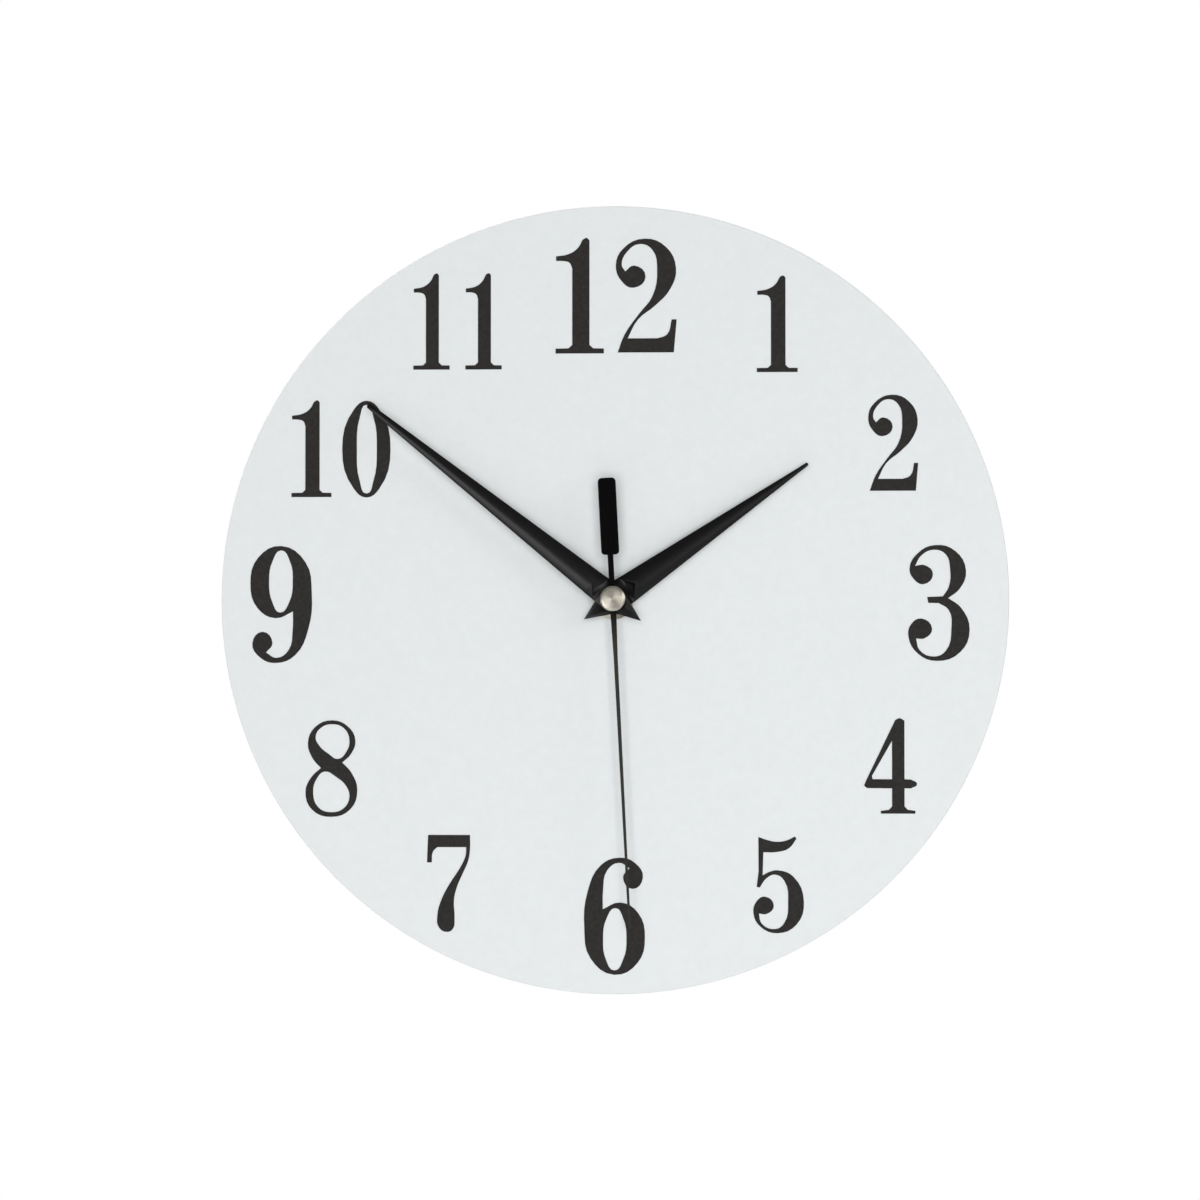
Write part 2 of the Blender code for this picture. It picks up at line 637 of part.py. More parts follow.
def power(cell, spring):
    """The battery, laid across the bay, and the two springs that touch its ends."""
    half = BATTERY_LENGTH / 2
    layers = [
        ([circle(BATTERY_RADIUS, steps=32)], 0.0, BATTERY_BODY),
        ([circle(2.7, steps=20)], BATTERY_BODY, BATTERY_LENGTH),
    ]
    mesh = rotated(layered(layers), "Z", 90)
    bmesh.ops.translate(mesh, verts=mesh.verts, vec=(-half, -BATTERY_DEPTH, 0))
    place("battery", mesh, cell, (0.0, BATTERY_Z))

    z = BATTERY_Z
    bow = [(-26.75, z - 6.5), (-26.3, z - 4.0), (-25.9, z), (-26.3, z + 4.0), (-26.75, z + 6.5)]
    button = [
        (26.6, z - 6.5), (26.6, z - 2.6), (25.9, z - 1.3),
        (25.9, z + 1.3), (26.6, z + 2.6), (26.6, z + 6.5),
    ]
    for name, route in (("negative_contact", bow), ("positive_contact", button)):
        place(name, layered([([ribbon(route, 0.35)], 4.0, 11.5)]), spring)


def folded_hand(name, material, turn, depth, length, root_half, tip_half, bore):
    """A hand pressed from sheet: a flat hub with a pointed tail, and an arm folded to a roof."""
    mesh = bmesh.new()
    reach, ridge_full, point = 4.8, 8.6, 3.0
    slope = (root_half - tip_half) / (length - point - reach)

    def vert(x, z, rise=0.0):
        return mesh.verts.new((x, -depth - rise, z))

    def half_at(z):
        return root_half - slope * (z - reach)

    touch = math.degrees(math.acos(root_half / TAIL_TIP))
    arc = [polar(root_half, 180 - touch + (touch - 90) * k / 3) for k in range(4)]
    shoulder_radius = math.hypot(root_half, reach)
    shoulder_angle = math.degrees(math.atan2(root_half, reach))
    brow = [polar(shoulder_radius, shoulder_angle * (1 - k / 3)) for k in range(7)]
    right = [vert(x, z) for x, z in arc]
    left = [vert(-x, z) for x, z in reversed(arc)]
    front = [vert(x, z) for x, z in brow]
    tail = vert(0, -TAIL_TIP)
    rim = [tail, *right, *front, *left]
    hole = [vert(x, z) for x, z in circle(bore, steps=24)]
    edges = [
        mesh.edges.new(pair) for ring in (rim, hole) for pair in zip(ring, ring[1:] + ring[:1])
    ]
    bmesh.ops.triangle_fill(mesh, use_beauty=True, edges=edges, normal=(0, -1, 0))

    rows = []
    for z in (ridge_full, length - point):
        half = half_at(z)
        rise = half * math.tan(ROOF_ANGLE)
        rows.append((vert(half, z), vert(0, z, rise), vert(-half, z)))
    first, last = rows
    mesh.faces.new((front[0], first[0], first[1]))
    mesh.faces.new((front[-1], first[1], first[2]))
    for near, far in zip(front, front[1:]):
        mesh.faces.new((near, first[1], far))
    for side in (0, 1):
        mesh.faces.new((first[side], last[side], last[side + 1], first[side + 1]))
    tip = []
    for degrees in (30, 90, 150):
        turn_in = math.radians(degrees)
        x, z = tip_half * math.cos(turn_in), tip_half * math.sin(turn_in)
        tip.append(vert(x, length - tip_half + z))
    for near, far in zip((last[0], *tip), (*tip, last[2])):
        mesh.faces.new((last[1], near, far))

    bmesh.ops.recalc_face_normals(mesh, faces=mesh.faces)
    if sum(face.normal.y * face.calc_area() for face in mesh.faces) > 0:
        bmesh.ops.reverse_faces(mesh, faces=mesh.faces)
    node = place(name, mesh, material, turn=turn)
    sheet = node.modifiers.new("Sheet", "SOLIDIFY")
    sheet.thickness = SHEET * MM
    sheet.offset = -1
    sheet.use_even_offset = True


def second_hand(paint, brass, nickel):
    """A thin flat hand with a bar as its counterweight, on a collet under a domed cap."""
    neck, bar, tip = 0.89, 2.82, 0.37
    blade = rounded(
        [
            (-tip, 103.8, tip * 0.6), (-0.5, 38.0, 0.0), (-0.64, 19.0, 0.0), (-0.98, 3.0, 0.0),
            (-3.0, 1.2, 0.8), (-3.0, -1.2, 0.8), (-neck, -3.0, 0.0), (-neck, -13.9, 0.3),
            (-bar, -13.9, 1.1), (-bar, -38.2, 1.2), (bar, -38.2, 1.2), (bar, -13.9, 1.1),
            (neck, -13.9, 0.3), (neck, -3.0, 0.0), (3.0, -1.2, 0.8), (3.0, 1.2, 0.8),
            (0.98, 3.0, 0.0), (0.64, 19.0, 0.0), (0.5, 38.0, 0.0), (tip, 103.8, tip * 0.6),
        ],
        3,
    )
    front = SECOND_HAND_DEPTH + SECOND_SHEET
    place("second_hand", layered([([blade], SECOND_HAND_DEPTH, front)]), paint, turn=SECOND_ANGLE)
    collet = [circle(1.3, steps=20), circle(0.75, steps=12)]
    place("second_hand_collet", layered([(collet, 30.1, 31.2)]), brass, turn=SECOND_ANGLE)
    cap = layered([([circle(CAP_RADIUS, steps=32)], front + 0.15, front + 1.3)])
    node = place("second_hand_cap", cap, nickel, turn=SECOND_ANGLE)
    edge = node.modifiers.new("Edge", "BEVEL")
    edge.width = 0.35 * MM
    edge.segments = 1
    edge.limit_method = "ANGLE"


def main():
    clear_scene()
    black_plastic = finish("Black ABS", (28, 28, 29), 0.55)
    acetal = finish("White acetal", (225, 224, 214), 0.45)
    black_paint = finish("Black paint", (30, 30, 29), 0.5)
    nickel = finish("Nickel plate", (200, 195, 182), 0.25, 1.0)
    brass = finish("Brass", (190, 160, 92), 0.3, 1.0)
    steel = finish("Electrical steel", (150, 152, 155), 0.4, 1.0)

    figures(finish("Black ink", (48, 47, 45), 0.6))
    dial(finish("White MDF", (214, 211, 204), 0.7), finish("Printed film", (227, 231, 232), 0.5))
    motion_axis, knob_axis = motion_work(acetal, black_plastic)
    ferrite = finish("Ferrite", (52, 50, 50), 0.6)
    third_axis, first_axis, rotor_axis = going_train(acetal, ferrite, brass)
    case_front(black_plastic, (third_axis, first_axis, rotor_axis, knob_axis), motion_axis)
    rear_cover(black_plastic, (third_axis, first_axis, rotor_axis, (0.0, 0.0)), knob_axis)
    fixings(brass, nickel, finish("Black rubber", (26, 26, 26), 0.8))
    motor(rotor_axis, steel, finish("Enamelled copper", (168, 92, 52), 0.35, 1.0), acetal)
    resin = finish("Epoxy", (16, 16, 17), 0.35)
    electronics(finish("Green board", (26, 92, 58), 0.45), resin, nickel)
    power(finish("Battery wrap", (60, 78, 96), 0.35), nickel)
    folded_hand(
        "hour_hand", black_paint, HOUR_ANGLE, HOUR_HAND_DEPTH,
        length=75.0, root_half=4.6, tip_half=0.66, bore=2.6,
    )
    folded_hand(
        "minute_hand", black_paint, MINUTE_ANGLE, MINUTE_HAND_DEPTH,
        length=99.3, root_half=4.18, tip_half=0.95, bore=1.75,
    )
    second_hand(black_paint, brass, nickel)


main()
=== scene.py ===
"""A frameless round wall clock on a battery quartz movement.

The dial faces -Y, twelve o'clock is +Z and the wall is the plane Y = 0. Sizes are in millimetres
and "depth" is the distance in front of the wall, until a mesh is finished and scaled to metres.
"""

import math

import bmesh
import bpy
from mathutils import Matrix, Vector


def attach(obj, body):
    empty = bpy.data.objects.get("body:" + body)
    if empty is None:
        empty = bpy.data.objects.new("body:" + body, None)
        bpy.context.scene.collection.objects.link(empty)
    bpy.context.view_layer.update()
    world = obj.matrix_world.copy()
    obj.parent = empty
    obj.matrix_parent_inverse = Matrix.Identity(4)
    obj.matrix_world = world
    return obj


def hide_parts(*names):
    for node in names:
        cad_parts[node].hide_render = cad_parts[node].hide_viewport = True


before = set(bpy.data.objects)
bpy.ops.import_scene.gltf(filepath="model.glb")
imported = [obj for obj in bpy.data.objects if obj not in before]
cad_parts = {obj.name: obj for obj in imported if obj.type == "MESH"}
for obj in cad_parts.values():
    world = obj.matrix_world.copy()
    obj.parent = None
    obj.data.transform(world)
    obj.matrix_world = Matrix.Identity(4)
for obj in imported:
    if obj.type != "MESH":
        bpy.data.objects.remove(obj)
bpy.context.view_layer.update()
MM = 0.001

# ---------------------------------------------------------------------------------------------
# The dial board: a disc of 4 mm fibreboard with its edge routed and eased by hand, then sprayed
# white all over. The spray lies thinner on the edge, where the pressed layers show through.


def tint(colour):
    """An sRGB hex colour as linear red, green, blue and alpha."""
    shares = [int(colour[k : k + 2], 16) / 255 for k in (1, 3, 5)]
    return [s / 12.92 if s <= 0.04045 else ((s + 0.055) / 1.055) ** 2.4 for s in shares] + [1.0]


def add(tree, kind, inputs=None, stops=(), **settings):
    """Adds one shader node. An input is a plain value or another node's output."""
    node = tree.nodes.new("ShaderNode" + kind)
    for name, value in settings.items():
        setattr(node, name, value)
    for name, value in (inputs or {}).items():
        if isinstance(value, bpy.types.NodeSocket):
            tree.links.new(value, node.inputs[name])
        else:
            node.inputs[name].default_value = value
    for element, (place, colour) in zip(node.color_ramp.elements if stops else (), stops):
        element.position, element.color = place, tint(colour)
    return node


def finish(name, roughness, metallic=0.0, **sockets):
    """A new material, its tree, its shader and its Object coordinates in metres."""
    material = bpy.data.materials.new(name)
    material.use_nodes = True
    tree = material.node_tree
    shader = tree.nodes["Principled BSDF"]
    values = {"Roughness": roughness, "Metallic": metallic, **sockets}
    for socket, value in values.items():
        shader.inputs[socket.replace("_", " ")].default_value = value
    return material, tree, shader, add(tree, "TexCoord").outputs["Object"]


SHARP_ANGLE = math.radians(35)


def shown(name, mesh, material, body, stands_for=None):
    """Makes a finished mesh, in millimetres, one of the clock's pieces."""
    bmesh.ops.scale(mesh, verts=mesh.verts, vec=(MM, MM, MM))
    data = bpy.data.meshes.new(name)
    mesh.to_mesh(data)
    mesh.free()
    data.materials.append(material)
    data.shade_smooth()
    data.set_sharp_from_angle(angle=SHARP_ANGLE)
    piece = bpy.data.objects.new(name, data)
    bpy.context.collection.objects.link(piece)
    piece.modifiers.new("Flat faces", "WEIGHTED_NORMAL").keep_sharp = True
    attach(piece, body)
    if stands_for:
        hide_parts(stands_for)
    return piece


def turned(section, steps=96, rounding=0.0, segments=3):
    """A solid of revolution about the hands' axis, from its section as (radius, depth) points.
    A section that touches the axis is left open there."""
    mesh = bmesh.new()
    points = [mesh.verts.new((radius, -depth, 0)) for radius, depth in section]
    pairs = list(zip(points, points[1:]))
    if section[0][0] and section[-1][0]:
        pairs.append((points[-1], points[0]))
    edges = [mesh.edges.new(pair) for pair in pairs]
    bmesh.ops.spin(
        mesh, geom=[*points, *edges], cent=(0, 0, 0), axis=(0, 1, 0), angle=2 * math.pi,
        steps=steps, use_merge=True,
    )
    bmesh.ops.remove_doubles(mesh, verts=mesh.verts, dist=0.0005)
    bmesh.ops.recalc_face_normals(mesh, faces=mesh.faces)
    rounded_edges(mesh, rounding, segments)
    return mesh


def ring(bore, radius, back, front):
    """The section of a flat ring about the hands' axis."""
    return [(bore, back), (radius, back), (radius, front), (bore, front)]


def rounded_edges(mesh, rounding, segments=3, least=40):
    """Rounds every edge that turns by more than least degrees."""
    sharp = [e for e in mesh.edges if e.is_manifold and e.calc_face_angle(0) > math.radians(least)]
    if rounding and sharp:
        bmesh.ops.bevel(
            mesh, geom=sharp, offset=rounding, offset_type="OFFSET", segments=segments,
            profile=0.5, affect="EDGES", material=-1, clamp_overlap=True,
        )


BOARD_RADIUS, BORE_RADIUS = 125.0, 4.3
BOARD_BACK, BOARD_FRONT = 18.1, 22.1
DIAL_STEPS = 240
board_paint, tree, shader, place = finish("white_sprayed_fibreboard", 0.6)
cloud = add(tree, "TexNoise", {"Vector": place, "Scale": 600.0, "Detail": 6.0, "Roughness": 0.7})
tone = add(tree, "ValToRGB", {"Fac": cloud.outputs["Fac"]}, ((0.3, "#E0E2E2"), (0.7, "#E5E7E7")))
tree.links.new(tone.outputs["Color"], shader.inputs["Base Color"])
# Fibres 0.6 mm long, squeezed nine times flatter through the thickness.
layers = add(tree, "Mapping", {"Vector": place, "Scale": (1.0, 9.0, 1.0)})
fibre = add(tree, "TexNoise", {"Vector": layers.outputs["Vector"], "Scale": 1700.0, "Detail": 5.0})
relief = add(tree, "Bump", {"Height": fibre.outputs["Fac"], "Distance": 0.00006, "Strength": 0.8})
tree.links.new(relief.outputs["Normal"], shader.inputs["Normal"])

section = ring(BORE_RADIUS, BOARD_RADIUS, BOARD_BACK, BOARD_FRONT)
shown(
    "board_disc", turned(section, DIAL_STEPS, rounding=0.25), board_paint, "clock_body",
    "dial_board",
)

# ---------------------------------------------------------------------------------------------
# The dial face: a cool grey-white print under a matt film, rolled on to the board and trimmed a
# tenth of a millimetre short of its rim. The film is faintly cloudy, with a fine satin grain.

FILM_RADIUS, FILM_BACK, FILM_FRONT = 124.9, 22.15, 22.45
face_film, tree, shader, place = finish("matt_film_over_print", 0.55)
mottle = add(tree, "TexNoise", {"Vector": place, "Scale": 330.0, "Detail": 6.0, "Roughness": 0.7})
tone = add(tree, "ValToRGB", {"Fac": mottle.outputs["Fac"]}, ((0.3, "#E1E5E6"), (0.7, "#E5E9EA")))
tree.links.new(tone.outputs["Color"], shader.inputs["Base Color"])
grain = add(tree, "TexNoise", {"Vector": place, "Scale": 1500.0, "Detail": 3.0})
relief = add(tree, "Bump", {"Height": grain.outputs["Fac"], "Distance": 0.00001, "Strength": 0.5})
tree.links.new(relief.outputs["Normal"], shader.inputs["Normal"])
section = ring(BORE_RADIUS, FILM_RADIUS, FILM_BACK, FILM_FRONT)
shown(
    "face_print", turned(section, DIAL_STEPS, rounding=0.1, segments=2), face_film,
    "clock_body", "dial_face_film",
)

# ---------------------------------------------------------------------------------------------
# The hour figures: one pass of warm black screen ink, a tenth of a millimetre thick. Where the
# squeegee left less ink the black is slightly open and a shade lighter.

ink, tree, shader, place = finish("screen_printed_ink", 0.62, Specular_IOR_Level=0.3)
cover = add(tree, "TexNoise", {"Vector": place, "Scale": 900.0, "Detail": 4.0})
tone = add(tree, "ValToRGB", {"Fac": cover.outputs["Fac"]}, ((0.35, "#211F1E"), (0.75, "#2C2A28")))
tree.links.new(tone.outputs["Color"], shader.inputs["Base Color"])
relief = add(tree, "Bump", {"Height": cover.outputs["Fac"], "Distance": 0.00001, "Strength": 0.6})
tree.links.new(relief.outputs["Normal"], shader.inputs["Normal"])


def dress(material, *nodes):
    """Gives CAD solids that are shown as they are a finished material."""
    for node in nodes:
        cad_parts[node].material_slots[0].material = material


dress(ink, *(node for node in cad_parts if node.startswith("numeral_")))

# ---------------------------------------------------------------------------------------------
# The movement's case: two black ABS mouldings, a box that holds the gears and a rear cover with
# the hanging loop. The outside has a fine spark texture and the moulds left softened edges.


FLAT_ANGLE = math.radians(0.6)


def softened(node, rounding, segments=2, least=30):
    """A merged copy of a CAD solid in millimetres, with its edges rounded."""
    mesh = bmesh.new()
    mesh.from_mesh(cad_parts[node].data)
    bmesh.ops.scale(mesh, verts=mesh.verts, vec=(1 / MM, 1 / MM, 1 / MM))
    bmesh.ops.remove_doubles(mesh, verts=mesh.verts, dist=0.002)
    bmesh.ops.dissolve_limit(
        mesh, angle_limit=FLAT_ANGLE, verts=mesh.verts, edges=mesh.edges
    )
    rounded_edges(mesh, rounding, segments, least)
    return mesh


black_abs, tree, shader, place = finish("spark_textured_black_abs", 0.5)
flow = add(tree, "TexNoise", {"Vector": place, "Scale": 90.0, "Detail": 3.0})
tone = add(tree, "ValToRGB", {"Fac": flow.outputs["Fac"]}, ((0.3, "#19191A"), (0.7, "#222223")))
tree.links.new(tone.outputs["Color"], shader.inputs["Base Color"])
# Spark pits are 0.1 mm across on the real moulding, and are drawn 0.3 mm across to show.
spark = add(tree, "TexNoise", {"Vector": place, "Scale": 3300.0, "Detail": 2.0})
sheen = add(tree, "MapRange", {"Value": spark.outputs["Fac"], "To Min": 0.4, "To Max": 0.66})
tree.links.new(sheen.outputs["Result"], shader.inputs["Roughness"])
relief = add(tree, "Bump", {"Height": spark.outputs["Fac"], "Distance": 0.00005, "Strength": 0.7})
tree.links.new(relief.outputs["Normal"], shader.inputs["Normal"])

CASE_HALF = 28.5
shown(
    "case_moulding", softened("movement_case", 0.3), black_abs, "clock_body",
    "movement_case",
)

# Four sprung catches on the sides of the box hold the rear cover. Each is a wedge that stands
# 0.7 mm proud of the wall.
CATCH_WIDTH, CATCH_THICKNESS, CATCH_PROUD, CATCH_Z = 7.0, 1.2, 0.7, 17.0
CATCH_BACK, CATCH_FRONT = 3.0, 6.4
catch_size = (CATCH_THICKNESS, CATCH_FRONT - CATCH_BACK, CATCH_WIDTH)
catch_x = CASE_HALF + CATCH_PROUD - CATCH_THICKNESS / 2
mesh = bmesh.new()
for side in (-1, 1):
    for height in (-CATCH_Z, CATCH_Z):
        made = bmesh.ops.create_cube(mesh, size=1.0)["verts"]
        bmesh.ops.scale(mesh, verts=made, vec=catch_size)
        middle = (side * catch_x, -(CATCH_BACK + CATCH_FRONT) / 2, height)
        bmesh.ops.translate(mesh, verts=made, vec=middle)
        for vert in made:
            if abs(vert.co.x) > CASE_HALF and vert.co.y < middle[1]:
                vert.co.x -= side * CATCH_PROUD
rounded_edges(mesh, 0.15, segments=2)
shown("cover_catches", mesh, black_abs, "clock_body")

# The rear cover also has marks sunk half a millimetre into its back: plus and minus at the ends
# of the battery window, and a two-way arrow round the knob's well.
KNOB_AXIS = (7.35403, 15.77076)


def sunk_mark(mesh, outline, depth=0.5):
    """Adds to a cutter the prism that sinks one outline of (x, z) points into the cover."""
    rim = mesh.faces.new([mesh.verts.new((x, depth, z)) for x, z in outline])
    made = bmesh.ops.extrude_face_region(mesh, geom=[rim])["geom"]
    sunk = [item for item in made if isinstance(item, bmesh.types.BMVert)]
    bmesh.ops.translate(mesh, verts=sunk, vec=(0.0, -2 * depth, 0.0))


def on_arc(radius, degrees):
    """A point at an angle from straight above the knob, as x and z."""
    turn = math.radians(degrees)
    return KNOB_AXIS[0] + radius * math.sin(turn), KNOB_AXIS[1] + radius * math.cos(turn)


MARK_X, MARK_Z, MARK_REACH, MARK_HALF_LINE = 21.5, -7.2, 2.2, 0.45
ARC_RADIUS, ARC_HALF_LINE, ARC_END, ARC_STEP = 8.6, 0.4, 32, 4
HEAD_HALF, HEAD_POINT = 1.3, 47
marks = bmesh.new()
r, h = MARK_REACH, MARK_HALF_LINE
minus = [(-r, -h), (r, -h), (r, h), (-r, h)]
plus = [(-r, -h), (-h, -h), (-h, -r), (h, -r), (h, -h), (r, -h)]
plus += [(-x, -z) for x, z in plus]
sunk_mark(marks, [(x - MARK_X, z + MARK_Z) for x, z in minus])
sunk_mark(marks, [(x + MARK_X, z + MARK_Z) for x, z in plus])
sweep = range(-ARC_END, ARC_END + 1, ARC_STEP)
arrow = [on_arc(ARC_RADIUS + ARC_HALF_LINE, degrees) for degrees in sweep]
arrow += [
    on_arc(ARC_RADIUS + HEAD_HALF, ARC_END), on_arc(ARC_RADIUS, HEAD_POINT),
    on_arc(ARC_RADIUS - HEAD_HALF, ARC_END),
]
arrow += [on_arc(ARC_RADIUS - ARC_HALF_LINE, -degrees) for degrees in sweep]
arrow += [
    on_arc(ARC_RADIUS - HEAD_HALF, -ARC_END), on_arc(ARC_RADIUS, -HEAD_POINT),
    on_arc(ARC_RADIUS + HEAD_HALF, -ARC_END),
]
sunk_mark(marks, arrow)
bmesh.ops.recalc_face_normals(marks, faces=marks.faces)


def engraved(mesh, cutter):
    """Cuts one bmesh from another and returns what is left."""
    objects = []
    for name, source in (("blank", mesh), ("cutter", cutter)):
        data = bpy.data.meshes.new(name)
        source.to_mesh(data)
        source.free()
        objects.append(bpy.data.objects.new(name, data))
        bpy.context.collection.objects.link(objects[-1])
    blank, tool = objects
    cut = blank.modifiers.new("Cut", "BOOLEAN")
    cut.operation, cut.solver, cut.object = "DIFFERENCE", "EXACT", tool
    graph = bpy.context.evaluated_depsgraph_get()
    left = bmesh.new()
    left.from_object(blank, graph)
    for item in objects:
        bpy.data.objects.remove(item, do_unlink=True)
    return left


shown(
    "cover_moulding", engraved(softened("rear_cover", 0.3), marks), black_abs, "clock_body",
    "rear_cover",
)

# ---------------------------------------------------------------------------------------------
# The fixing: a turned brass bush with an M8 thread comes through the dial from behind. A rubber
# ring beds the movement, and a nickel-plated washer and thin hexagon nut clamp the board.

BUSH_RADIUS, BUSH_BORE, BUSH_BACK, BUSH_FRONT, BUSH_CHAMFER = 3.95, 2.7, 14.0, 25.9, 0.3
FLANGE_RADIUS, FLANGE_FRONT = 5.5, 15.0
THREAD_BACK, THREAD_FRONT, THREAD_DEPTH, PITCH = 17.2, 25.2, 0.42, 0.75
# A wave texture's lines lie this over its scale apart, in metres.
WAVE_LENGTH = 0.314
brass, tree, shader, place = finish("turned_brass", 0.3, 1.0)
tarnish = add(tree, "TexNoise", {"Vector": place, "Scale": 420.0, "Detail": 5.0})
tone = add(tree, "ValToRGB", {"Fac": tarnish.outputs["Fac"]}, ((0.3, "#B59652"), (0.7, "#C9AC6A")))
tree.links.new(tone.outputs["Color"], shader.inputs["Base Color"])
# Tool marks 0.05 mm apart on the real piece, drawn 0.15 mm apart to show.
lathe = add(
    tree, "TexWave", {"Vector": place, "Scale": WAVE_LENGTH / 0.00015, "Distortion": 0.6},
    wave_type="RINGS", rings_direction="Y",
)
relief = add(tree, "Bump", {"Height": lathe.outputs["Fac"], "Distance": 0.000006, "Strength": 0.7})
tree.links.new(relief.outputs["Normal"], shader.inputs["Normal"])

section = [
    (BUSH_BORE, BUSH_BACK), (FLANGE_RADIUS, BUSH_BACK), (FLANGE_RADIUS, FLANGE_FRONT),
    (BUSH_RADIUS, FLANGE_FRONT), (BUSH_RADIUS, THREAD_BACK),
]
crest = THREAD_BACK
while crest < THREAD_FRONT:
    section += [(BUSH_RADIUS - THREAD_DEPTH, crest + PITCH / 2), (BUSH_RADIUS, crest + PITCH)]
    crest += PITCH
section += [(BUSH_RADIUS - BUSH_CHAMFER, BUSH_FRONT), (BUSH_BORE, BUSH_FRONT)]
shown("bush_turned", turned(section, steps=64), brass, "clock_body", "threaded_bush")

rubber, tree, shader, place = finish("moulded_black_rubber", 0.82, Specular_IOR_Level=0.35)
bloom = add(tree, "TexNoise", {"Vector": place, "Scale": 600.0, "Detail": 6.0})
tone = add(tree, "ValToRGB", {"Fac": bloom.outputs["Fac"]}, ((0.35, "#181818"), (0.75, "#262625")))
tree.links.new(tone.outputs["Color"], shader.inputs["Base Color"])
relief = add(tree, "Bump", {"Height": bloom.outputs["Fac"], "Distance": 0.00004, "Strength": 0.6})
tree.links.new(relief.outputs["Normal"], shader.inputs["Normal"])
section = ring(bore=4.4, radius=10.0, back=16.8, front=17.8)
shown(
    "bedding_ring", turned(section, steps=72, rounding=0.3), rubber, "clock_body",
    "rubber_gasket",
)

# The lathe's grooves run round the axis and spread a highlight across themselves, which is a
# quarter turn from the way the shader spreads it.
nickel, tree, shader, place = finish(
    "turned_nickel_plate", 0.32, 1.0, Anisotropic=0.4, Anisotropic_Rotation=0.25
)
circling = add(tree, "Tangent", direction_type="RADIAL", axis="Y")
tree.links.new(circling.outputs["Tangent"], shader.inputs["Tangent"])
haze = add(tree, "TexNoise", {"Vector": place, "Scale": 500.0, "Detail": 4.0})
tone = add(tree, "ValToRGB", {"Fac": haze.outputs["Fac"]}, ((0.3, "#CFC9BA"), (0.7, "#DBD5C8")))
tree.links.new(tone.outputs["Color"], shader.inputs["Base Color"])
# Rings 0.04 mm apart from the lathe, drawn 0.16 mm apart to show.
lathe = add(
    tree, "TexWave", {"Vector": place, "Scale": WAVE_LENGTH / 0.00016, "Distortion": 0.4},
    wave_type="RINGS", rings_direction="Y",
)
relief = add(tree, "Bump", {"Height": lathe.outputs["Fac"], "Distance": 0.000008, "Strength": 0.8})
tree.links.new(relief.outputs["Normal"], shader.inputs["Normal"])
CLAMP_BORE = 4.2
section = ring(CLAMP_BORE, radius=6.4, back=22.75, front=23.25)
shown(
    "washer_blank", turned(section, steps=64, rounding=0.12, segments=2), nickel,
    "clock_body", "fixing_washer",
)

# The nut's six corners are cut off at the front and at the back.
NUT_BACK, NUT_FRONT, NUT_CORNER, NUT_CHAMFER = 23.5, 25.6, 5.77, 0.75
mesh = bmesh.new()
for radius, segments in ((NUT_CORNER, 6), (CLAMP_BORE, 48)):
    bmesh.ops.create_circle(mesh, cap_ends=False, radius=radius, segments=segments)
bmesh.ops.rotate(mesh, verts=mesh.verts, matrix=Matrix.Rotation(math.radians(90), 3, "X"))
bmesh.ops.translate(mesh, verts=mesh.verts, vec=(0, -NUT_BACK, 0))
bmesh.ops.triangle_fill(mesh, use_beauty=True, edges=mesh.edges, normal=(0, 1, 0))
made = bmesh.ops.extrude_face_region(mesh, geom=mesh.faces)["geom"]
lifted = [item for item in made if isinstance(item, bmesh.types.BMVert)]
bmesh.ops.translate(mesh, verts=lifted, vec=(0, NUT_BACK - NUT_FRONT, 0))
bmesh.ops.recalc_face_normals(mesh, faces=mesh.faces)
bmesh.ops.dissolve_limit(mesh, angle_limit=FLAT_ANGLE, verts=mesh.verts, edges=mesh.edges)
corners = [vert for vert in mesh.verts if vert.co.xz.length > NUT_CORNER - 0.1]
bmesh.ops.bevel(
    mesh, geom=corners, offset=NUT_CHAMFER, offset_type="OFFSET", segments=1, profile=0.5,
    affect="VERTICES", material=-1, clamp_overlap=True,
)
rounded_edges(mesh, 0.08, segments=2, least=20)
shown("nut_blank", mesh, nickel, "clock_body", "fixing_nut")

# ---------------------------------------------------------------------------------------------
# The gears and the coil's bobbin: white acetal, each wheel moulded in one piece with its pinion.
# The material is slightly waxy, and faintly clouded where it flowed as the mould was filled.

acetal, tree, shader, place = finish("moulded_white_acetal", 0.42, Subsurface_Weight=0.06)
shader.inputs["Subsurface Radius"].default_value = (0.0012, 0.001, 0.0008)
flow = add(tree, "TexNoise", {"Vector": place, "Scale": 350.0, "Detail": 4.0, "Distortion": 0.8})
tone = add(tree, "ValToRGB", {"Fac": flow.outputs["Fac"]}, ((0.3, "#DEDCD1"), (0.7, "#EAE9E0")))
tree.links.new(tone.outputs["Color"], shader.inputs["Base Color"])
relief = add(tree, "Bump", {"Height": flow.outputs["Fac"], "Distance": 0.00002, "Strength": 0.5})
tree.links.new(relief.outputs["Normal"], shader.inputs["Normal"])
dress(
    acetal, "minute_tube", "centre_wheel", "third_wheel", "second_wheel", "first_wheel",
    "motion_wheel", "hour_wheel", "coil_bobbin",
)

# ---------------------------------------------------------------------------------------------
# The setting knob: a black moulding with a fluted edge, pushed through the rear cover. A finger
# dish is sunk into its head, and it has the same spark texture as the case.

# The cutter for the dish starts behind the head and reaches half a millimetre into it.
section = [(0.0, -1.0), (3.3, -1.0), (3.3, 0.05), (2.9, 0.4), (0.0, 0.5)]
dish = turned(section, steps=48)
bmesh.ops.contextual_create(dish, geom=[edge for edge in dish.edges if edge.is_boundary])
bmesh.ops.recalc_face_normals(dish, faces=dish.faces)
bmesh.ops.translate(dish, verts=dish.verts, vec=(KNOB_AXIS[0], 0.0, KNOB_AXIS[1]))
shown(
    "knob_moulding", engraved(softened("setting_knob", 0.12, least=50), dish), black_abs,
    "knob_arbor", "setting_knob",
)

